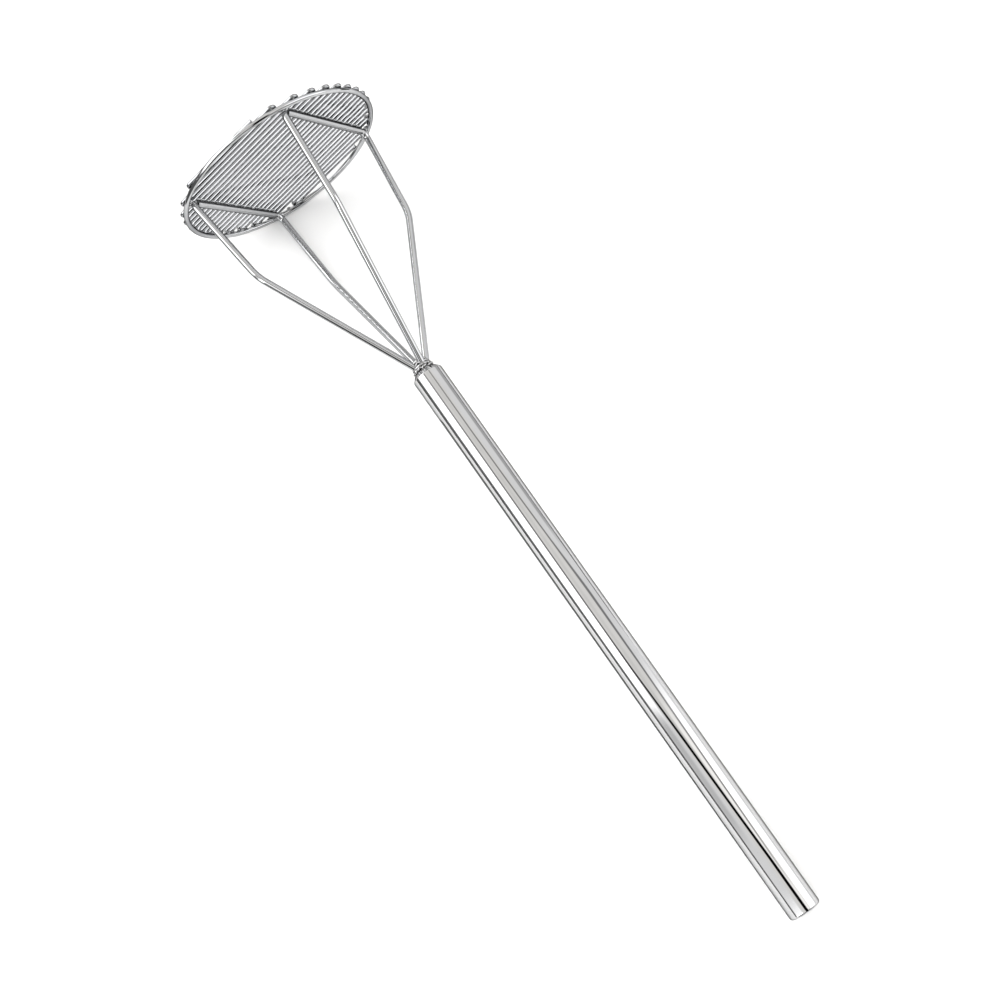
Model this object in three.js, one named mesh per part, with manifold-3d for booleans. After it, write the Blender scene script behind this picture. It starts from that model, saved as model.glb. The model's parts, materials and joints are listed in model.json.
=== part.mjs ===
// A long-handled potato masher with a round face, lying on a table as it settles there:
// on two neighbouring loops of the grid and the far end of the handle.
//
// The tool is drawn along its own X axis. X is 0 in the middle plane of the face ring and
// grows towards the end of the handle. The leg frames and the grid are drawn in the head's
// own axes: grid wires run along Y and crossbars run along Z, and the head is then rolled.
import * as THREE from 'three';
import { mergeVertices } from 'three/addons/utils/BufferGeometryUtils.js';
import Module from 'manifold-3d';

const manifold = await Module();
manifold.setup();

// ---- driving dimensions, millimetres and degrees ----

const overallLength = 610;
const fitGap = 0.3;

const ringDiameter = 153;
const ringWire = 3.6;

const gridWire = 2.6;
const gridPitch = 5.5;
const loopOverhang = 1;

const legRod = 4.8;
const crossbarSpacing = 90.8;
const cornerInset = 1.4;
const legCornerRadius = 6;
const kneeHeight = 69;
const kneeInsetAcross = 6.8;
const kneeInsetAlong = 4.5;
const kneeRadius = 32;
const gatherRadius = 8;
const rodInsert = 20;

const headLength = 186.7;

const tubeDiameter = 22;
const tubeWall = 1.2;
const shoulderLength = 3.2;
const shoulderEdgeRadius = 1.2;
const neckWall = 1.4;

const weldLength = 5.2;
const weldStandOut = 0.7;
const weldNoseRadius = 2.6;

const capThickness = 2.4;
const capEdgeRadius = 1.6;
const capSkirtLength = 9;
const capSkirtWall = 1.2;

const rodSides = 12;
const rodStepDegrees = 12;
const gridWireSides = 8;
const loopStepDegrees = 30;
const ringSides = 12;
const ringSteps = 72;
const turnedSides = 40;
const shoulderEdgeSteps = 3;
const capEdgeSteps = 5;
const weldNoseSteps = 5;
const layingPasses = 4;
const mergeDistance = 1e-2;
const shortestStep = 1e-3;

// ---- places that follow from the sizes ----

const ringOuterRadius = ringDiameter / 2;
const ringCentreRadius = ringOuterRadius - ringWire / 2;
const ringInnerRadius = ringOuterRadius - ringWire;
const crossbarLength = 2 * Math.sqrt((ringInnerRadius - cornerInset) ** 2 - (crossbarSpacing / 2) ** 2);
const gridPlane = -(ringWire + gridWire) / 2 - fitGap;
const crossbarPlane = gridPlane + (gridWire + legRod) / 2 + fitGap;
const faceOuter = gridPlane - gridWire / 2;
const gridWires = 2 * Math.floor((ringInnerRadius - gridWire / 2) / gridPitch + 0.5);
const loopRadius = gridPitch / 2;
const loopCircle = ringOuterRadius + loopOverhang - loopRadius - gridWire / 2;

const handleEnd = faceOuter + overallLength;
const shoulderStart = faceOuter + headLength;
const neckStart = shoulderStart - shoulderLength;
const tubeRadius = tubeDiameter / 2;
const tubeInnerRadius = tubeRadius - tubeWall;
const tubeEnd = handleEnd - capThickness - fitGap;

// The four rod ends lie two by two, a gap apart, and fill the neck of the tube.
const bundleOffset = (legRod + fitGap) / 2;
const bundleRadius = bundleOffset * Math.SQRT2 + legRod / 2;
const neckInnerRadius = bundleRadius + fitGap;
const neckOuterRadius = neckInnerRadius + neckWall;
const weldStart = neckStart - fitGap;
const gatherPlane = weldStart - weldLength / 2;

// ---- finishes ----

function chrome(name, color, roughness) {
  return new THREE.MeshStandardMaterial({ name, color, roughness, metalness: 1 });
}

// ---- helpers ----

// A path with one extrusion step between each two of its points.
class RodPath extends THREE.Curve {
  constructor(points) {
    super();
    this.points = points;
  }

  indexAt(share) {
    return Math.round(share * (this.points.length - 1));
  }

  getPointAt(share) {
    return this.points[this.indexAt(share)].clone();
  }

  getTangentAt(share) {
    const index = this.indexAt(share);
    const before = this.points[Math.max(index - 1, 0)];
    const here = this.points[index];
    const after = this.points[Math.min(index + 1, this.points.length - 1)];
    const arriving = here.clone().sub(before).normalize();
    const leaving = after.clone().sub(here).normalize();
    return arriving.add(leaving).normalize();
  }
}

// Rounds each inner corner of a bent rod with an arc of its own radius.
function bendRod(corners, radii, stepDegrees) {
  const points = [corners[0]];
  for (let i = 1; i < corners.length - 1; i += 1) {
    const corner = corners[i];
    const arriving = corner.clone().sub(corners[i - 1]).normalize();
    const leaving = corners[i + 1].clone().sub(corner).normalize();
    const turn = arriving.angleTo(leaving);
    const radius = radii[i - 1];
    const axis = arriving.clone().cross(leaving).normalize();
    const start = corner.clone().addScaledVector(arriving, -radius * Math.tan(turn / 2));
    const centre = start.clone().addScaledVector(axis.clone().cross(arriving), radius);
    const steps = Math.ceil(THREE.MathUtils.radToDeg(turn) / stepDegrees);
    for (let k = 0; k <= steps; k += 1) {
      const spoke = start.clone().sub(centre).applyAxisAngle(axis, turn * k / steps);
      points.push(centre.clone().add(spoke));
    }
  }
  points.push(corners[corners.length - 1]);
  return points.filter((point, i) => i === 0 || point.distanceTo(points[i - 1]) > shortestStep);
}

function roundBar(points, diameter, sides) {
  const outline = [];
  for (let i = 0; i < sides; i += 1) {
    const angle = 2 * Math.PI * i / sides;
    outline.push(new THREE.Vector2(Math.cos(angle), Math.sin(angle)).multiplyScalar(diameter / 2));
  }
  const settings = { steps: points.length - 1, extrudePath: new RodPath(points) };
  return new THREE.ExtrudeGeometry(new THREE.Shape(outline), settings);
}

// Turns a closed outline of [radius, x] points about the X axis, with a flat lowermost.
function turned(outline) {
  const profile = outline.map(([radius, x]) => new THREE.Vector2(radius, x));
  const geometry = new THREE.LatheGeometry(profile, turnedSides);
  geometry.rotateY(Math.PI / turnedSides);
  geometry.rotateZ(-Math.PI / 2);
  return geometry;
}

function arc(centreRadius, centreX, radius, fromDegrees, toDegrees, steps) {
  const points = [];
  for (let i = 0; i <= steps; i += 1) {
    const angle = THREE.MathUtils.degToRad(fromDegrees + (toDegrees - fromDegrees) * i / steps);
    points.push([centreRadius + radius * Math.sin(angle), centreX + radius * Math.cos(angle)]);
  }
  return points;
}

function toSolid(geometry) {
  const bare = geometry.clone();
  bare.deleteAttribute('normal');
  bare.deleteAttribute('uv');
  const merged = mergeVertices(bare, mergeDistance);
  const corners = merged.index.array;
  const triangles = [];
  for (let i = 0; i < corners.length; i += 3) {
    const [a, b, c] = corners.slice(i, i + 3);
    if (a !== b && b !== c && c !== a) {
      triangles.push(a, b, c);
    }
  }
  return new manifold.Manifold(new manifold.Mesh({
    numProp: 3,
    vertProperties: new Float32Array(merged.attributes.position.array),
    triVerts: new Uint32Array(triangles),
  }));
}

function toGeometry(solid) {
  const mesh = solid.getMesh();
  const geometry = new THREE.BufferGeometry();
  geometry.setAttribute('position', new THREE.BufferAttribute(new Float32Array(mesh.vertProperties), 3));
  geometry.setIndex(new THREE.BufferAttribute(new Uint32Array(mesh.triVerts), 1));
  geometry.computeVertexNormals();
  return geometry;
}

function piece(name, geometry, material) {
  const mesh = new THREE.Mesh(geometry, material);
  mesh.name = name;
  return mesh;
}

// ---- the head ----

// The corners of half a leg frame, from the rod's end in the tube to the corner on the grid.
function legCorners(side, sign) {
  const gather = bundleOffset * side;
  const across = crossbarSpacing / 2 * side;
  const along = crossbarLength / 2;
  const kneeAcross = (crossbarSpacing / 2 - kneeInsetAcross) * side;
  const kneeAlong = along - kneeInsetAlong;
  return [
    new THREE.Vector3(neckStart + rodInsert, gather, bundleOffset * sign),
    new THREE.Vector3(gatherPlane, gather, bundleOffset * sign),
    new THREE.Vector3(crossbarPlane + kneeHeight, kneeAcross, kneeAlong * sign),
    new THREE.Vector3(crossbarPlane, across, along * sign),
  ];
}

// One bent rod: up one leg, across the crossbar on the grid and down the other leg.
function legPoints(side) {
  const corners = [...legCorners(side, 1), ...legCorners(side, -1).reverse()];
  const bends = [gatherRadius, kneeRadius, legCornerRadius];
  return bendRod(corners, [...bends, ...bends.slice().reverse()], rodStepDegrees);
}

// The stretch of one rod through the neck, as thick as the room that is left for it there.
function rodRoom(side, sign) {
  const points = bendRod(legCorners(side, sign).slice(0, 3), [gatherRadius], rodStepDegrees);
  return toSolid(roundBar(points, legRod + 2 * fitGap, rodSides));
}

function legFrame(name, side) {
  return piece(name, roundBar(legPoints(side), legRod, rodSides), chrome('leg chrome', 0xc9ccd0, 0.16));
}

function wireHeight(i) {
  return (i - (gridWires - 1) / 2) * gridPitch;
}

// The centre of the loop that joins wire i to the next one. All loop centres lie on a circle.
function loopCentre(i) {
  const height = (wireHeight(i) + wireHeight(i + 1)) / 2;
  const side = i % 2 === 0 ? -1 : 1;
  return { side, height, reach: Math.sqrt(loopCircle ** 2 - height ** 2) };
}

// One wire runs to and fro under the ring. Its loops end just outside the ring.
function mashingGrid() {
  const freeEnd = Math.sqrt(ringCentreRadius ** 2 - wireHeight(0) ** 2);
  const corners = [new THREE.Vector3(gridPlane, freeEnd, wireHeight(0))];
  for (let i = 0; i < gridWires - 1; i += 1) {
    const loop = loopCentre(i);
    const turn = loop.side * (loop.reach + loopRadius);
    corners.push(new THREE.Vector3(gridPlane, turn, wireHeight(i)));
    corners.push(new THREE.Vector3(gridPlane, turn, wireHeight(i + 1)));
  }
  corners.push(new THREE.Vector3(gridPlane, freeEnd, wireHeight(gridWires - 1)));
  const radii = corners.slice(2).map(() => loopRadius);
  const wire = roundBar(bendRod(corners, radii, loopStepDegrees), gridWire, gridWireSides);
  return piece('mashing_grid', wire, chrome('grid chrome', 0xc2c5c9, 0.2));
}

function faceRing() {
  const geometry = new THREE.TorusGeometry(ringCentreRadius, ringWire / 2, ringSides, ringSteps);
  geometry.rotateZ(Math.PI / ringSteps);
  geometry.rotateY(Math.PI / 2);
  return piece('face_ring', geometry, chrome('ring chrome', 0xc5c8cc, 0.18));
}

// ---- the neck and handle ----

// A bead of weld round the four rods. Its flat side faces the mouth of the tube.
function neckWeld() {
  const outer = bundleRadius + weldStandOut;
  const end = weldStart - weldLength;
  const nose = arc(outer - weldNoseRadius, end + weldNoseRadius, weldNoseRadius, 180, 90, weldNoseSteps);
  let bead = toSolid(turned([[0, end], ...nose, [outer, weldStart], [0, weldStart]]));
  for (const side of [-1, 1]) {
    bead = bead.subtract(rodRoom(side, 1)).subtract(rodRoom(side, -1));
  }
  const core = new THREE.CylinderGeometry(bundleOffset, bundleOffset, 4 * weldLength, rodSides);
  core.rotateZ(Math.PI / 2);
  core.translate(gatherPlane, 0, 0);
  bead = bead.subtract(toSolid(core));
  return piece('neck_weld', toGeometry(bead), chrome('weld chrome', 0xb4b6b8, 0.3));
}

// The tube is drawn in at the head end to a narrow mouth for the rods.
function handleTube() {
  const rounding = arc(tubeRadius - shoulderEdgeRadius, shoulderStart + shoulderEdgeRadius,
    shoulderEdgeRadius, 135, 90, shoulderEdgeSteps);
  const innerShoulder = shoulderStart + tubeWall / 2;
  const outline = [
    [neckInnerRadius, neckStart],
    [neckOuterRadius, neckStart],
    ...rounding,
    [tubeRadius, tubeEnd],
    [tubeInnerRadius, tubeEnd],
    [tubeInnerRadius, innerShoulder],
    [neckInnerRadius, neckStart + tubeWall],
    [neckInnerRadius, neckStart],
  ];
  return piece('handle_tube', turned(outline), chrome('handle chrome', 0xd2d4d6, 0.08));
}

// A flat cap with a rounded rim closes the far end, held by a skirt inside the tube.
function handleEndCap() {
  const skirtRadius = tubeInnerRadius - fitGap;
  const capInside = handleEnd - capThickness;
  const rimRadius = tubeRadius - capEdgeRadius;
  const rim = arc(rimRadius, handleEnd - capEdgeRadius, capEdgeRadius, 90, 0, capEdgeSteps);
  const outline = [
    [0, capInside],
    [skirtRadius - capSkirtWall, capInside],
    [skirtRadius - capSkirtWall, capInside - capSkirtLength],
    [skirtRadius, capInside - capSkirtLength],
    [skirtRadius, capInside],
    [tubeRadius, capInside],
    ...rim,
    [0, handleEnd],
  ];
  return piece('handle_end_cap', turned(outline), chrome('cap chrome', 0xcdcfd2, 0.12));
}

// ---- assembly ----

// Rolls the head so that the first two loops on one side are level with each other.
function restingRoll() {
  const angles = [loopCentre(0), loopCentre(2)].map((loop) => Math.atan2(loop.reach, -loop.height));
  return (angles[0] + angles[1]) / 2;
}

function lowest(object) {
  return new THREE.Box3().setFromObject(object, true).min.z;
}

// Slopes the tool down towards the end of the handle until both ends touch one plane.
function layDown(tool, headEnd, farEnd) {
  for (let pass = 0; pass < layingPasses; pass += 1) {
    tool.updateMatrixWorld(true);
    tool.rotation.y += Math.atan2(lowest(farEnd) - lowest(headEnd), handleEnd);
  }
}

const head = new THREE.Group();
head.add(legFrame('leg_frame_left', 1));
head.add(legFrame('leg_frame_right', -1));
head.add(mashingGrid());
head.add(neckWeld());
head.rotation.x = restingRoll();

const cap = handleEndCap();
const tool = new THREE.Group();
tool.add(head);
tool.add(faceRing());
tool.add(handleTube());
tool.add(cap);
layDown(tool, head, cap);

const masher = new THREE.Group();
masher.add(tool);
masher.updateMatrixWorld(true);
const extent = new THREE.Box3().setFromObject(masher, true);
const middle = extent.getCenter(new THREE.Vector3());
tool.position.set(-middle.x, -middle.y, -extent.min.z);
masher.updateMatrixWorld(true);

export default masher;
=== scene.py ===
import json
import math
import random

import bmesh
import bpy
from mathutils import Matrix, Vector


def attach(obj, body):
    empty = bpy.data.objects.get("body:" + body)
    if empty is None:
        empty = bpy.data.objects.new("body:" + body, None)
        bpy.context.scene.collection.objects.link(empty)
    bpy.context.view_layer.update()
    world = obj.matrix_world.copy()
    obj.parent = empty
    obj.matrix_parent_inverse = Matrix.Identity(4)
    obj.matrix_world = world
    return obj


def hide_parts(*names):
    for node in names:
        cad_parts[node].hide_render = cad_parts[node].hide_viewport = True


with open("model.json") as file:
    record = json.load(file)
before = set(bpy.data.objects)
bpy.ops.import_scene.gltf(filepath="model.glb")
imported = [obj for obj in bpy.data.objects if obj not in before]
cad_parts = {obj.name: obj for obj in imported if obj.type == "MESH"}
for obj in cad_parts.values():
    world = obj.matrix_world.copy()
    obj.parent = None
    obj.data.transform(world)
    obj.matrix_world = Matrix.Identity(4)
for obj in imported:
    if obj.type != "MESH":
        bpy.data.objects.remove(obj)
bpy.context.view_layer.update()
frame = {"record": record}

millimetre = 0.001

# Sizes are in millimetres along the tool: x from the face to the end of the handle.
tool = {
    "length": 610.0,
    "headLength": 186.7,
    "fitGap": 0.3,
    "mergeDistance": 0.0005,
    "smoothDegrees": 60.0,
    "seed": 11,
}


def roundCorners(corners, radii, stepDegrees):
    # a path through the corners, with each inner corner turned into an arc
    points = [corners[0]]
    for i in range(1, len(corners) - 1):
        corner = corners[i]
        arriving = (corner - corners[i - 1]).normalized()
        leaving = (corners[i + 1] - corner).normalized()
        turn = arriving.angle(leaving)
        axis = arriving.cross(leaving).normalized()
        start = corner - arriving * radii[i - 1] * math.tan(turn / 2)
        centre = start + axis.cross(arriving) * radii[i - 1]
        steps = math.ceil(math.degrees(turn) / stepDegrees)
        for k in range(steps + 1):
            spoke = Matrix.Rotation(turn * k / steps, 3, axis) @ (start - centre)
            points.append(centre + spoke)
    points.append(corners[-1])
    kept = [points[0]]
    for point in points[1:]:
        if (point - kept[-1]).length > 2 * tool["mergeDistance"]:
            kept.append(point)
    return kept


def meshObject(name, mesh):
    obj = bpy.data.objects.new(name, mesh)
    bpy.context.scene.collection.objects.link(obj)
    return obj


def meshFrom(bm, name):
    mesh = bpy.data.meshes.new(name)
    bm.to_mesh(mesh)
    bm.free()
    return mesh


def bentRod(name, points, radius, resolution):
    # a curve with a round bevel, handed back as a bmesh so that welds can be added to it
    curve = bpy.data.curves.new(name, "CURVE")
    curve.dimensions = "3D"
    curve.bevel_depth = radius
    curve.bevel_resolution = resolution
    curve.use_fill_caps = True
    spline = curve.splines.new("POLY")
    spline.points.add(len(points) - 1)
    for point, co in zip(spline.points, points):
        point.co = (co.x, co.y, co.z, 1)
    spline.use_smooth = True
    source = meshObject(name + "Curve", curve)
    bpy.context.view_layer.update()
    evaluated = source.evaluated_get(bpy.context.evaluated_depsgraph_get())
    mesh = bpy.data.meshes.new_from_object(evaluated)
    bpy.data.objects.remove(source)
    bpy.data.curves.remove(curve)
    bm = bmesh.new()
    bm.from_mesh(mesh)
    bpy.data.meshes.remove(mesh)
    bmesh.ops.remove_doubles(bm, verts=bm.verts, dist=tool["mergeDistance"])
    bmesh.ops.recalc_face_normals(bm, faces=bm.faces)
    return bm


def spun(outline, steps):
    # turns a closed outline of (radius, x) points about the X axis
    bm = bmesh.new()
    verts = [bm.verts.new((x, 0, radius)) for radius, x in outline]
    edges = [bm.edges.new((a, b)) for a, b in zip(verts, verts[1:])]
    if outline[0][0] > 0 or outline[-1][0] > 0:
        edges.append(bm.edges.new((verts[-1], verts[0])))
    bmesh.ops.spin(bm, geom=verts + edges, cent=(0, 0, 0), axis=(1, 0, 0), dvec=(0, 0, 0),
                   angle=2 * math.pi, steps=steps, use_merge=True, use_duplicate=False)
    bmesh.ops.remove_doubles(bm, verts=bm.verts, dist=tool["mergeDistance"])
    bmesh.ops.recalc_face_normals(bm, faces=bm.faces)
    return bm


def blob(bm, centre, size, turn=Matrix(), detail=2):
    # one drop of weld metal
    place = Matrix.Translation(centre) @ turn @ Matrix.Diagonal((*size, 1))
    bmesh.ops.create_icosphere(bm, subdivisions=detail, radius=1, matrix=place)


def shaded(name, bm, place, sharpDegrees=35.0):
    # finishes a bmesh: smooth except at sharp edges, and laid where the tool lies
    for face in bm.faces:
        face.smooth = True
    for edge in bm.edges:
        edge.smooth = edge.calc_face_angle(0) < math.radians(sharpDegrees)
    mesh = meshFrom(bm, name)
    mesh.transform(place)
    return meshObject(name, mesh)


def arc(centreRadius, centreX, radius, fromDegrees, toDegrees, steps):
    # part of a round section as (radius, x), where 0 degrees points along +X
    points = []
    for i in range(steps + 1):
        angle = math.radians(fromDegrees + (toDegrees - fromDegrees) * i / steps)
        points.append((centreRadius + radius * math.sin(angle), centreX + radius * math.cos(angle)))
    return points


# face ring

ring = {
    "diameter": 153.0,
    "wire": 3.6,
    "steps": 240,
    "sides": 28,
    "buttWeldAngle": 215.0,
    "buttWeldSwell": 0.09,
    "buttWeldLength": 2.2,
}

ringCentre = (ring["diameter"] - ring["wire"]) / 2
ringInner = ring["diameter"] / 2 - ring["wire"]


def makeRing(place):
    section = arc(ringCentre, 0, ring["wire"] / 2, 0, 360 - 360 / ring["sides"], ring["sides"] - 1)
    bm = spun(section, ring["steps"])
    # the ends of the wire meet in a butt weld, ground almost flush
    weldAngle = math.radians(ring["buttWeldAngle"])
    for vert in bm.verts:
        angle = math.atan2(vert.co.y, vert.co.z)
        apart = abs(math.remainder(angle - weldAngle, 2 * math.pi)) * ringCentre
        swell = ring["buttWeldSwell"] * math.exp(-(apart / ring["buttWeldLength"]) ** 2)
        middle = Vector((0, math.sin(angle) * ringCentre, math.cos(angle) * ringCentre))
        vert.co = middle + (vert.co - middle) * (1 + swell)
    return shaded("faceRing", bm, place, sharpDegrees=tool["smoothDegrees"])


# mashing grid

grid = {
    "wire": 2.6,
    "pitch": 5.5,
    "overhang": 1.0,
    "bow": 0.28,
    "sag": 0.12,
    "straightSteps": 16,
    "loopSteps": 14,
    "bevelResolution": 5,
    "pressedIn": 0.05,
    "spotSize": (0.75, 1.5, 1.15),
    "spotVaries": (0.8, 1.15),
    "spotReach": 0.72,
}

cadGridPlane = -(ring["wire"] + grid["wire"]) / 2 - tool["fitGap"]
gridPlane = -(ring["wire"] + grid["wire"]) / 2 + grid["pressedIn"]
faceOuter = cadGridPlane - grid["wire"] / 2
handleEnd = faceOuter + tool["length"]
wireCount = 2 * math.floor((ringInner - grid["wire"] / 2) / grid["pitch"] + 0.5)
loopRadius = grid["pitch"] / 2
loopCircle = ring["diameter"] / 2 + grid["overhang"] - loopRadius - grid["wire"] / 2


def wireHeight(i):
    # wires are numbered from the lowest up
    return (i - (wireCount - 1) / 2) * grid["pitch"]


def loopCentre(i):
    # the loop that joins wire i to the next one
    height = (wireHeight(i) + wireHeight(i + 1)) / 2
    side = -1 if i % 2 == 0 else 1
    return side, height, math.sqrt(loopCircle ** 2 - height ** 2)


def gridPath():
    shake = random.Random(tool["seed"])
    freeEnd = math.sqrt(ringCentre ** 2 - wireHeight(0) ** 2)
    points = []
    for i in range(wireCount):
        toward = -1 if i % 2 == 0 else 1
        start = freeEnd if i == 0 else loopCentre(i - 1)[2]
        end = freeEnd if i == wireCount - 1 else loopCentre(i)[2]
        bow = shake.uniform(-grid["bow"], grid["bow"])
        wave = shake.uniform(-grid["bow"], grid["bow"]) / 2
        sag = shake.uniform(0, grid["sag"])
        for k in range(grid["straightSteps"] + 1):
            t = k / grid["straightSteps"]
            lift = math.sin(math.pi * t)
            points.append(Vector((gridPlane - sag * lift, toward * (end * t - start * (1 - t)),
                                  wireHeight(i) + bow * lift + wave * math.sin(2 * math.pi * t))))
        if i < wireCount - 1:
            side, height, reach = loopCentre(i)
            for k in range(1, grid["loopSteps"]):
                angle = math.pi * (k / grid["loopSteps"] - 0.5)
                points.append(Vector((gridPlane, side * (reach + loopRadius * math.cos(angle)),
                                      height + loopRadius * math.sin(angle))))
    return points


def makeGrid(place):
    bm = bentRod("mashingGrid", gridPath(), grid["wire"] / 2, grid["bevelResolution"])
    shake = random.Random(tool["seed"] + 3)
    spotX = -ring["wire"] / 2
    for i in range(wireCount):
        height = wireHeight(i)
        spots = [math.sqrt(ringCentre ** 2 - height ** 2)]
        spots.append(-spots[0])
        for along in spots:
            turn = Matrix.Rotation(math.atan2(-along, height), 4, "X")
            # a nugget squeezed out along the inside of the ring
            inward = turn.to_3x3() @ Vector((0, 0, -ring["wire"] / 2 * grid["spotReach"]))
            size = [s * shake.uniform(*grid["spotVaries"]) for s in grid["spotSize"]]
            blob(bm, Vector((spotX, along, height)) + inward, size, turn)
    bmesh.ops.recalc_face_normals(bm, faces=bm.faces)
    return shaded("mashingGrid", bm, place, sharpDegrees=tool["smoothDegrees"])


# leg frames

legs = {
    "rod": 4.8,
    "crossbarSpacing": 90.8,
    "cornerInset": 1.4,
    "cornerRadius": 6.0,
    "kneeHeight": 69.0,
    "kneeInsetAcross": 6.8,
    "kneeInsetAlong": 4.5,
    "kneeRadius": 32.0,
    "gatherRadius": 8.0,
    "insert": 20.0,
    "arcStep": 3.0,
    "bevelResolution": 7,
    "spotSize": (0.8, 1.0, 1.7),
    "spotVaries": (0.75, 1.2),
    "spotSlip": 0.3,
    "spotReach": 0.78,
    "spotRise": 0.42,
    "cornerWeld": 2.1,
    "cornerWeldVaries": (0.65, 0.95),
    "cornerWeldStep": 1.25,
    "cornerWeldDrift": (-0.5, 0.9),
    "cornerWeldDepth": 0.2,
}

crossbarReach = ringInner - legs["cornerInset"]
crossbarLength = 2 * math.sqrt(crossbarReach ** 2 - (legs["crossbarSpacing"] / 2) ** 2)
crossbarPlane = cadGridPlane + (grid["wire"] + legs["rod"]) / 2 + tool["fitGap"]
bundleOffset = (legs["rod"] + tool["fitGap"]) / 2
bundleRadius = bundleOffset * math.sqrt(2) + legs["rod"] / 2


def legCorners(side, sign):
    # from inside the handle, over the knee, to the end of the crossbar
    gather = bundleOffset * side
    across = legs["crossbarSpacing"] / 2 * side
    along = crossbarLength / 2
    kneeAcross = (legs["crossbarSpacing"] / 2 - legs["kneeInsetAcross"]) * side
    kneeAlong = (along - legs["kneeInsetAlong"]) * sign
    return [
        Vector((neckStart + legs["insert"], gather, bundleOffset * sign)),
        Vector((gatherPlane, gather, bundleOffset * sign)),
        Vector((crossbarPlane + legs["kneeHeight"], kneeAcross, kneeAlong)),
        Vector((crossbarPlane, across, along * sign)),
    ]


def makeLegFrame(name, side, place):
    corners = legCorners(side, 1) + legCorners(side, -1)[::-1]
    bends = [legs["gatherRadius"], legs["kneeRadius"], legs["cornerRadius"]]
    points = roundCorners(corners, bends + bends[::-1], legs["arcStep"])
    bm = bentRod(name, points, legs["rod"] / 2, legs["bevelResolution"])
    shake = random.Random(tool["seed"] + 5 + side)
    across = legs["crossbarSpacing"] / 2 * side
    spotX = gridPlane + grid["wire"] * legs["spotRise"]
    for i in range(wireCount):
        height = wireHeight(i)
        if abs(height) > crossbarLength / 2 - legs["cornerRadius"] / 2:
            continue
        for edge in (-1, 1):
            step = edge * legs["rod"] / 2 * legs["spotReach"]
            slip = shake.uniform(-legs["spotSlip"], legs["spotSlip"])
            centre = Vector((spotX, across + step, height + slip))
            size = [s * shake.uniform(*legs["spotVaries"]) for s in legs["spotSize"]]
            blob(bm, centre, size)
    # heavier welds where the corners meet the ring
    for sign in (-1, 1):
        corner = Vector((0, across, crossbarLength / 2 * sign))
        outward = corner.normalized()
        for k in range(5):
            slide = Vector((0, -outward.z, outward.y)) * (k - 2) * legs["cornerWeldStep"]
            drift = Vector((shake.uniform(*legs["cornerWeldDrift"]), 0, 0))
            centre = outward * (ringInner - legs["cornerWeldDepth"]) + slide + drift
            size = [legs["cornerWeld"] * shake.uniform(*legs["cornerWeldVaries"]) for s in range(3)]
            blob(bm, centre, size, detail=3)
    bmesh.ops.recalc_face_normals(bm, faces=bm.faces)
    return shaded(name, bm, place, sharpDegrees=tool["smoothDegrees"])


# handle tube

tube = {
    "diameter": 22.0,
    "wall": 1.2,
    "shoulder": 3.2,
    "edgeRadius": 1.2,
    "neckWall": 1.4,
    "mouthBevel": (0.3, 0.2),
    "edgeSteps": 8,
    "steps": 160,
}

shoulderStart = faceOuter + tool["headLength"]
neckStart = shoulderStart - tube["shoulder"]
tubeRadius = tube["diameter"] / 2
tubeInner = tubeRadius - tube["wall"]
neckInner = bundleRadius + tool["fitGap"]
neckOuter = neckInner + tube["neckWall"]


def makeTube(place):
    rounding = arc(tubeRadius - tube["edgeRadius"], shoulderStart + tube["edgeRadius"],
                   tube["edgeRadius"], 135, 90, tube["edgeSteps"])
    bevelIn, bevelAlong = tube["mouthBevel"]
    outline = [(neckInner, neckStart), (neckOuter - bevelIn, neckStart)]
    outline += [(neckOuter, neckStart + bevelAlong)]
    outline += rounding
    outline += [(tubeRadius, tubeEnd), (tubeInner, tubeEnd)]
    outline += [(tubeInner, shoulderStart + tube["wall"] / 2), (neckInner, neckStart + tube["wall"])]
    return shaded("handleTube", spun(outline, tube["steps"]), place)


# cap on the end of the handle

cap = {
    "thickness": 2.4,
    "edgeRadius": 1.6,
    "skirt": 9.0,
    "skirtWall": 1.2,
    "edgeSteps": 12,
    "steps": 160,
}

tubeEnd = handleEnd - cap["thickness"]


def makeCap(place):
    skirt = tubeInner - tool["fitGap"]
    rim = tubeRadius - cap["edgeRadius"]
    outline = [(0, tubeEnd), (skirt - cap["skirtWall"], tubeEnd),
               (skirt - cap["skirtWall"], tubeEnd - cap["skirt"]), (skirt, tubeEnd - cap["skirt"]),
               (skirt, tubeEnd), (tubeRadius, tubeEnd)]
    outline += arc(rim, handleEnd - cap["edgeRadius"], cap["edgeRadius"], 90, 0, cap["edgeSteps"])
    outline += [(0, handleEnd)]
    return shaded("handleEndCap", spun(outline, cap["steps"]), place)


# weld round the rods at the neck

weld = {
    "length": 5.2,
    "visibleLength": 8.0,
    "standOut": 2.1,
    "rows": 4,
    "rowTaper": 0.7,
    "dimes": 11,
    "dimeWidth": 2.4,
    "dimeThickness": 1.6,
    "core": 2.9,
    "voxel": 0.14,
}

weldStart = neckStart - tool["fitGap"]
gatherPlane = weldStart - weld["length"] / 2


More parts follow.
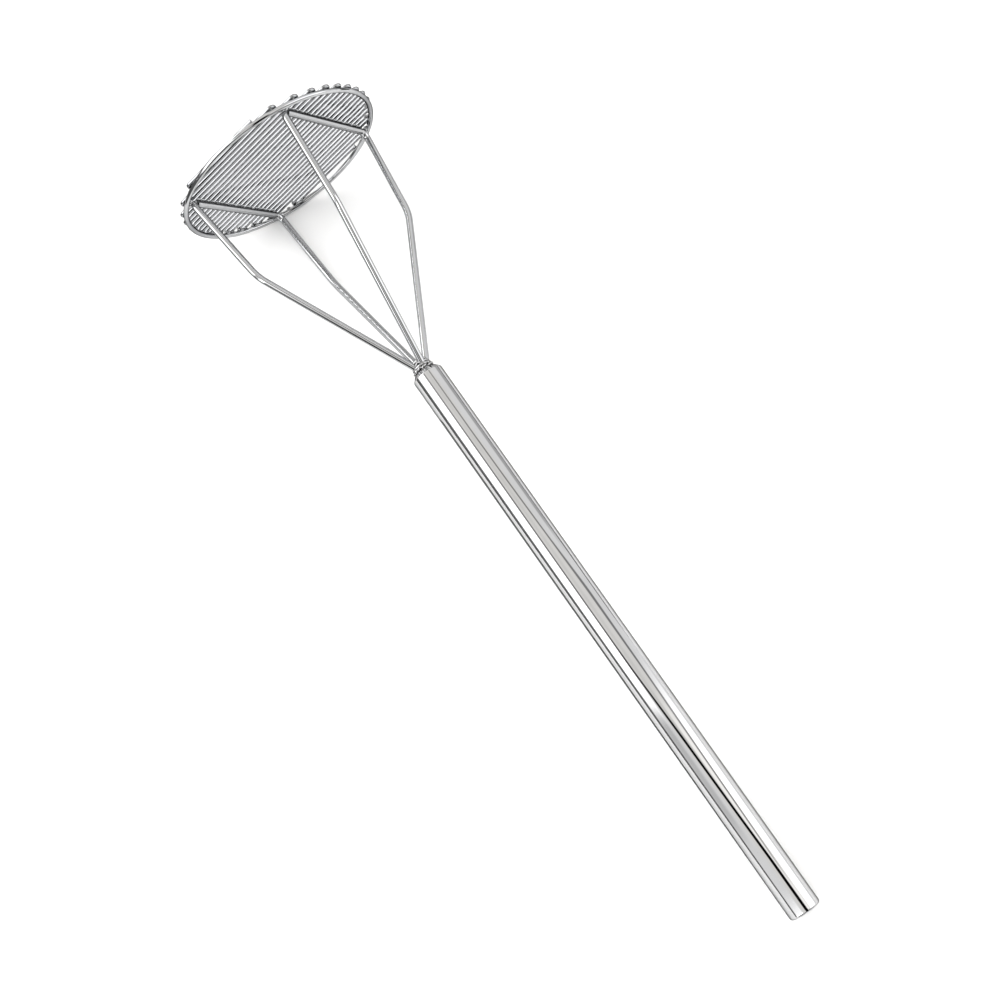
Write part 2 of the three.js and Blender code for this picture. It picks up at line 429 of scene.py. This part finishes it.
def makeWeld(place):
    # rows of overlapping dimes of weld metal, melted into one bead
    shake = random.Random(tool["seed"] + 1)
    bm = bmesh.new()
    outer = bundleRadius + weld["standOut"]
    rowPitch = weld["visibleLength"] / weld["rows"]
    for row in range(weld["rows"]):
        x = weldStart - rowPitch * (row + 0.4)
        rowOuter = outer - weld["rowTaper"] * row
        for k in range(weld["dimes"]):
            angle = 2 * math.pi * (k + 0.5 * (row % 2) + shake.uniform(-0.24, 0.24)) / weld["dimes"]
            thick = weld["dimeThickness"] + shake.uniform(-0.3, 0.35)
            tilt = Matrix.Rotation(shake.uniform(-0.5, 0.5), 4, "Z")
            turn = Matrix.Rotation(angle, 4, "X") @ tilt
            drift = Vector((x + shake.uniform(-0.25, 0.25), 0, 0))
            centre = turn @ Vector((0, 0, rowOuter - thick)) + drift
            halfLength = rowPitch * 0.52 + shake.uniform(-0.1, 0.1)
            blob(bm, centre, (halfLength, weld["dimeWidth"], thick), turn, detail=3)
    # a core over each rod, so that the rows have no hollow behind them
    for sign in (-1, 1):
        for side in (-1, 1):
            centre = Vector((weldStart - weld["length"] * 0.55, 0.92 * side * bundleOffset,
                             0.92 * sign * bundleOffset))
            blob(bm, centre, (weld["length"] * 0.62, weld["core"], weld["core"]), detail=3)
    obj = meshObject("neckWeld", meshFrom(bm, "neckWeld"))
    melt = obj.modifiers.new("melt", "REMESH")
    melt.mode = "VOXEL"
    melt.voxel_size = weld["voxel"]
    soften = obj.modifiers.new("soften", "SMOOTH")
    soften.iterations = 2
    soften.factor = 0.5
    bpy.context.view_layer.update()
    evaluated = obj.evaluated_get(bpy.context.evaluated_depsgraph_get())
    bead = bpy.data.meshes.new_from_object(evaluated)
    bpy.data.objects.remove(obj)
    bead.name = "neckWeld"
    for polygon in bead.polygons:
        polygon.use_smooth = True
    bead.transform(place)
    return meshObject("neckWeld", bead)


# where the tool lies

def placeOfTool():
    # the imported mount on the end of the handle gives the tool's slope and its far end
    mount = next(m for m in frame["record"]["mounts"] if m["name"] == "handle_end_face")
    axis = Vector(mount["axis"]).normalized()
    start = Vector(mount["pos_m"]) - axis * handleEnd * millimetre
    turn = Matrix.Rotation(math.asin(-axis.z), 4, "Y")
    return Matrix.Translation(start) @ turn @ Matrix.Scale(millimetre, 4)


def placeOfHead():
    # rolled so that the first two loops on one side both touch the table
    angles = []
    for i in (0, 2):
        side, height, reach = loopCentre(i)
        angles.append(math.atan2(reach, -height))
    return placeOfTool() @ Matrix.Rotation(sum(angles) / 2, 4, "X")


toolPlace = placeOfTool()
headPlace = placeOfHead()


# finishes: "edge" is the tint at grazing angles, "stretch" draws the smears out along a piece
chromes = {
    "handle": {"color": (0.60, 0.60, 0.605), "edge": 0.05, "roughness": 0.02, "smear": 0.03, "pit": 0.01,
               "stretch": (0.04, 1, 1)},
    "ring": {"color": (0.54, 0.545, 0.555), "edge": 0.0, "roughness": 0.03, "smear": 0.03, "pit": 0.02,
             "stretch": (1, 1, 1)},
    "rod": {"color": (0.53, 0.535, 0.545), "edge": 0.0, "roughness": 0.025, "smear": 0.02, "pit": 0.015,
            "stretch": (0.12, 1, 1)},
    # the wire copy is darker than the rest of the chrome: painted shade for the dark lines between the
    # grid's wires
    "wire": {"color": (0.41, 0.415, 0.425), "edge": 0.0, "roughness": 0.03, "smear": 0.03, "pit": 0.03,
             "stretch": (1, 0.1, 1)},
    "weld": {"color": (0.50, 0.50, 0.505), "edge": 0.0, "roughness": 0.03, "smear": 0.04, "pit": 0.06,
             "stretch": (1, 1, 1)},
}


plating = {
    "cloudScale": 45.0,
    "cloudDetail": 4.0,
    "cloudShade": 0.93,
    "smearScale": 900.0,
    "smearDetail": 5.0,
    "noiseRange": (0.3, 0.7),
    "pitDepth": 0.0001,
}


def chromeMaterial(name, settings, place):
    mat = bpy.data.materials.new(name)
    mat.use_nodes = True
    nodes = mat.node_tree.nodes
    links = mat.node_tree.links
    shader = nodes["Principled BSDF"]
    shader.inputs["Metallic"].default_value = 1.0
    shader.inputs["Specular Tint"].default_value = (*[settings["edge"]] * 3, 1)
    coords = nodes.new("ShaderNodeTexCoord")
    turned = nodes.new("ShaderNodeMapping")
    turned.vector_type = "POINT"
    rotation = place.to_3x3().normalized().inverted().to_euler()
    turned.inputs["Rotation"].default_value = rotation
    links.new(coords.outputs["Object"], turned.inputs["Vector"])
    stretched = nodes.new("ShaderNodeMapping")
    stretched.inputs["Scale"].default_value = settings["stretch"]
    links.new(turned.outputs["Vector"], stretched.inputs["Vector"])
    # cloudy differences in the plating, and long polishing smears
    cloud = nodes.new("ShaderNodeTexNoise")
    cloud.inputs["Scale"].default_value = plating["cloudScale"]
    cloud.inputs["Detail"].default_value = plating["cloudDetail"]
    links.new(turned.outputs["Vector"], cloud.inputs["Vector"])
    smear = nodes.new("ShaderNodeTexNoise")
    smear.inputs["Scale"].default_value = plating["smearScale"]
    smear.inputs["Detail"].default_value = plating["smearDetail"]
    links.new(stretched.outputs["Vector"], smear.inputs["Vector"])
    low, high = plating["noiseRange"]
    color = settings["color"]
    tint = nodes.new("ShaderNodeValToRGB")
    tint.color_ramp.elements[0].position = low
    tint.color_ramp.elements[0].color = (*[c * plating["cloudShade"] for c in color], 1)
    tint.color_ramp.elements[1].position = high
    tint.color_ramp.elements[1].color = (*color, 1)
    links.new(cloud.outputs["Fac"], tint.inputs["Fac"])
    links.new(tint.outputs["Color"], shader.inputs["Base Color"])
    rough = nodes.new("ShaderNodeMapRange")
    rough.inputs["From Min"].default_value = low
    rough.inputs["From Max"].default_value = high
    rough.inputs["To Min"].default_value = settings["roughness"]
    rough.inputs["To Max"].default_value = settings["roughness"] + settings["smear"]
    links.new(smear.outputs["Fac"], rough.inputs["Value"])
    links.new(rough.outputs["Result"], shader.inputs["Roughness"])
    pits = nodes.new("ShaderNodeBump")
    pits.inputs["Strength"].default_value = settings["pit"]
    pits.inputs["Distance"].default_value = plating["pitDepth"]
    links.new(smear.outputs["Fac"], pits.inputs["Height"])
    links.new(pits.outputs["Normal"], shader.inputs["Normal"])
    return mat


handleChrome = chromeMaterial("handleChrome", chromes["handle"], toolPlace)
ringChrome = chromeMaterial("ringChrome", chromes["ring"], headPlace)
rodChrome = chromeMaterial("rodChrome", chromes["rod"], toolPlace)
# a darker copy of the chrome: painted shade on the grid
wireChrome = chromeMaterial("wireChrome", chromes["wire"], headPlace)
weldChrome = chromeMaterial("weldChrome", chromes["weld"], toolPlace)


def finishPiece(obj, material, node):
    obj.data.materials.clear()
    obj.data.materials.append(material)
    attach(obj, "root")
    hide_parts(node)


print("ring and grid")
finishPiece(makeRing(toolPlace), ringChrome, "face_ring")
finishPiece(makeGrid(headPlace), wireChrome, "mashing_grid")
print("leg frames")
finishPiece(makeLegFrame("legFrameLeft", 1, headPlace), rodChrome, "leg_frame_left")
finishPiece(makeLegFrame("legFrameRight", -1, headPlace), rodChrome, "leg_frame_right")
print("handle")
finishPiece(makeTube(toolPlace), handleChrome, "handle_tube")
finishPiece(makeCap(toolPlace), handleChrome, "handle_end_cap")
finishPiece(makeWeld(headPlace), weldChrome, "neck_weld")


# camera

view = {
    "azimuth": 54.99,
    "elevation": 70.29,
    "distance": 1.08296,
    "roll": 0.28,
    "aim": (-0.02915, 0.00067, 0.0),
    "lens": 56.50,
    "sensor": 36.0,
}


def makeCamera():
    data = bpy.data.cameras.new("camera")
    data.lens = view["lens"]
    data.sensor_width = view["sensor"]
    camera = bpy.data.objects.new("camera", data)
    bpy.context.scene.collection.objects.link(camera)
    a = math.radians(view["azimuth"])
    e = math.radians(view["elevation"])
    back = Vector((math.sin(a) * math.cos(e), -math.cos(a) * math.cos(e), math.sin(e)))
    turn = (-back).to_track_quat("-Z", "Y").to_matrix().to_4x4()
    roll = Matrix.Rotation(math.radians(view["roll"]), 4, "Z")
    camera.matrix_world = Matrix.Translation(Vector(view["aim"]) + back * view["distance"]) @ turn @ roll
    bpy.context.scene.camera = camera


# floor, backdrop and flags

def stagePiece(name, bm, shade, glow=0.0):
    piece = meshObject(name, meshFrom(bm, name))
    mat = bpy.data.materials.new(name)
    mat.use_nodes = True
    shader = mat.node_tree.nodes["Principled BSDF"]
    shader.inputs["Base Color"].default_value = (shade, shade, shade, 1)
    shader.inputs["Roughness"].default_value = 0.9
    shader.inputs["Specular IOR Level"].default_value = 0.0
    shader.inputs["Emission Color"].default_value = (1, 1, 1, 1)
    shader.inputs["Emission Strength"].default_value = glow
    piece.data.materials.append(mat)
    return piece


floorPaper = {
    "size": 14.0,
    "shade": 0.90,
}


def makeFloor():
    bm = bmesh.new()
    bmesh.ops.create_grid(bm, x_segments=1, y_segments=1, size=floorPaper["size"])
    stagePiece("floor", bm, floorPaper["shade"])


# a pale surround that only the camera sees, since the light below is made for the chrome
backdrop = {
    "radius": 30.0,
    "segments": 32,
    "glow": 1.0,
}


def makeBackdrop():
    bm = bmesh.new()
    bmesh.ops.create_uvsphere(bm, u_segments=backdrop["segments"],
                              v_segments=backdrop["segments"] // 2, radius=backdrop["radius"])
    dome = stagePiece("backdrop", bm, 0.0, backdrop["glow"])
    dome.visible_diffuse = False
    dome.visible_glossy = False
    dome.visible_shadow = False


# dark sheets laid on the floor that show only in the chrome: a painted reflection of shaded floor, which
# draws the chrome's dark edge lines
shadeFlags = {
    "height": 0.0005,
    "shade": 0.10,
    "corners": {
        "leftShadeFlag": [(-6.0, -6.0), (6.0, -6.0), (6.0, -0.20), (-6.0, -0.20)],
        "rightShadeFlag": [(-6.0, 0.50), (-0.03, 0.50), (-0.03, 6.0), (-6.0, 6.0)],
        "nearShadeFlag": [(-0.106, -0.065), (0.306, -0.0130), (0.306, -0.0086), (-0.106, -0.043)],
    },
}


def makeShadeFlag(name, corners):
    bm = bmesh.new()
    bm.faces.new([bm.verts.new((x, y, shadeFlags["height"])) for x, y in corners])
    # painted shade seen only in reflection: hidden from the camera, from bounced light and from shadows
    shadeFlag = stagePiece(name, bm, shadeFlags["shade"])
    shadeFlag.visible_camera = False
    shadeFlag.visible_diffuse = False
    shadeFlag.visible_shadow = False


# light

# Angles are about the handle, from straight up toward +Y; "along" is the part of a direction
# that runs along the handle, toward its far end. Strips list (along, value) stops.
studio = {
    "keyEnergy": 1.0,
    "keyAngle": 34.0,
    "keyDirection": (0.05, -0.15, 0.98),
    "ceiling": 1.08,
    "greys": [
        {"angle": (-85, -48), "soft": 12, "along": (-0.03, 0.075), "fade": 0.02, "light": 0.78},
        {"angle": (-14, 2), "soft": 6, "along": (-0.4, 0.02), "fade": 0.03, "light": 0.98},
        {"angle": (-100, -42), "soft": 8, "along": (0.38, 1.4), "fade": 0.07, "light": 0.02},
        {"angle": (-42, 150), "soft": 8, "along": (0.64, 1.4), "fade": 0.08, "light": 0.30},
        {"angle": (0, 24), "soft": 6, "along": (-0.02, 0.2), "fade": 0.03, "light": 1.55},
    ],
    "panels": [
        {"angle": (-80, -38), "soft": 4, "along": (-1.2, -0.035), "fade": 0.025, "light": 3.6},
        {"angle": (-82, -35), "soft": 5, "along": (0.16, 0.33), "fade": 0.04, "light": 5.0},
    ],
    "lowPanels": [
        {"angle": (68, 110), "soft": 6, "along": (-1.2, -0.16), "fade": 0.02, "light": 0.60},
        {"angle": (68, 110), "soft": 6, "along": (-0.08, 0.55), "fade": 0.02, "light": 1.15},
        {"angle": (27, 74), "soft": 4, "along": (-0.03, 0.55), "fade": 0.04, "light": 2.2},
    ],
    "strips": [
        {"path": [(-0.26, -29), (-0.06, -29), (0.0, -17.5), (0.06, -10), (0.1, -3.5), (0.2, -1)],
         "width": [(-0.1, 4.4), (-0.06, 5.5), (0.0, 8.0), (0.06, 8.0), (0.13, 10.0)],
         "depth": [(-0.6, 0.0), (-0.25, 0.7), (-0.1, 0.8), (-0.06, 0.95), (0.0, 1.0)]},
        {"path": [(-0.26, 13), (-0.22, 17), (-0.17, 26), (-0.12, 38), (-0.06, 36), (0.0, 29), (0.1, 17)],
         "width": [(-0.17, 5.0), (-0.12, 9.0), (-0.06, 6.5), (0.1, 5.0)],
         "depth": [(-0.6, 0.0), (-0.25, 0.65), (0.0, 0.75), (0.06, 0.7), (0.1, 0.5), (0.13, 0.0)]},
    ],
    "stripEdge": (0.65, 1.3),
    "horizon": {"from": 2.0, "to": 9.0, "light": 0.15},
    "warmth": {"color": (1.0, 0.985, 0.955), "angle": (-30, 30), "soft": 8},
}


def makeKey():
    data = bpy.data.lights.new("key", "SUN")
    data.energy = studio["keyEnergy"]
    data.angle = math.radians(studio["keyAngle"])
    key = bpy.data.objects.new("key", data)
    bpy.context.scene.collection.objects.link(key)
    key.rotation_mode = "QUATERNION"
    key.rotation_quaternion = Vector(studio["keyDirection"]).to_track_quat("Z", "Y")
    key.visible_glossy = False


def makeWorld():
    world = bpy.data.worlds.new("studio")
    bpy.context.scene.world = world
    world.use_nodes = True
    nodes = world.node_tree.nodes
    links = world.node_tree.links

    def feed(socket, value):
        if isinstance(value, bpy.types.NodeSocket):
            links.new(value, socket)
        else:
            socket.default_value = value

    def calc(operation, *values):
        node = nodes.new("ShaderNodeMath")
        node.operation = operation
        for socket, value in zip(node.inputs, values):
            feed(socket, value)
        return node.outputs[0]

    def partAlong(direction, axis):
        node = nodes.new("ShaderNodeVectorMath")
        node.operation = "DOT_PRODUCT"
        feed(node.inputs[0], direction)
        feed(node.inputs[1], axis)
        return node.outputs["Value"]

    def ramp(value, start, end, low, high, kind="SMOOTHSTEP"):
        node = nodes.new("ShaderNodeMapRange")
        node.interpolation_type = kind
        feed(node.inputs["Value"], value)
        node.inputs["From Min"].default_value = start
        node.inputs["From Max"].default_value = end
        node.inputs["To Min"].default_value = low
        node.inputs["To Max"].default_value = high
        return node.outputs["Result"]

    def window(value, edges, soft):
        # 1 between the edges, 0 outside
        rising = ramp(value, edges[0] - soft, edges[0] + soft, 0, 1)
        falling = ramp(value, edges[1] - soft, edges[1] + soft, 1, 0)
        return calc("MULTIPLY", rising, falling)

    def follow(value, stops):
        # straight lines through the stops, level beyond them
        total = stops[0][1]
        for (x0, y0), (x1, y1) in zip(stops, stops[1:]):
            total = calc("ADD", ramp(value, x0, x1, 0, y1 - y0, "LINEAR"), total)
        return total

    direction = nodes.new("ShaderNodeTexCoord").outputs["Generated"]
    handleAxis = (toolPlace.to_3x3() @ Vector((1, 0, 0))).normalized()
    handleUp = (toolPlace.to_3x3() @ Vector((0, 0, 1))).normalized()
    along = partAlong(direction, handleAxis)
    above = partAlong(direction, handleUp)
    aside = partAlong(direction, Vector((0, 1, 0)))
    height = partAlong(direction, Vector((0, 0, 1)))
    angle = calc("DEGREES", calc("ARCTAN2", aside, above))

    def lay(light, panels):
        # each panel covers what is behind it
        for panel in panels:
            mask = calc("MULTIPLY", window(angle, panel["angle"], panel["soft"]),
                        window(along, panel["along"], panel["fade"]))
            change = calc("SUBTRACT", panel["light"], light)
            light = calc("ADD", light, calc("MULTIPLY", change, mask))
        return light

    light = lay(studio["ceiling"], studio["greys"] + studio["panels"])
    horizon = studio["horizon"]
    low = math.sin(math.radians(horizon["from"]))
    high = math.sin(math.radians(horizon["to"]))
    change = calc("SUBTRACT", horizon["light"], light)
    light = calc("ADD", light, calc("MULTIPLY", change, ramp(height, low, high, 1, 0)))
    light = lay(light, studio["lowPanels"])
    for strip in studio["strips"]:
        apart = calc("ABSOLUTE", calc("SUBTRACT", angle, follow(along, strip["path"])))
        inside = calc("DIVIDE", apart, follow(along, strip["width"]))
        mask = calc("MULTIPLY", ramp(inside, *studio["stripEdge"], 1, 0), follow(along, strip["depth"]))
        light = calc("MULTIPLY", light, calc("SUBTRACT", 1, mask))

    # the ceiling is a little warm
    background = nodes["Background"]
    warmth = studio["warmth"]
    warm = nodes.new("ShaderNodeMix")
    warm.data_type = "RGBA"
    links.new(window(angle, warmth["angle"], warmth["soft"]), warm.inputs["Factor"])
    warm.inputs["A"].default_value = (1, 1, 1, 1)
    warm.inputs["B"].default_value = (*warmth["color"], 1)
    links.new(warm.outputs["Result"], background.inputs["Color"])
    links.new(light, background.inputs["Strength"])


print("studio")
makeCamera()
makeFloor()
makeBackdrop()
for name, corners in shadeFlags["corners"].items():
    makeShadeFlag(name, corners)
makeKey()
makeWorld()
bpy.context.scene.view_settings.view_transform = "Standard"
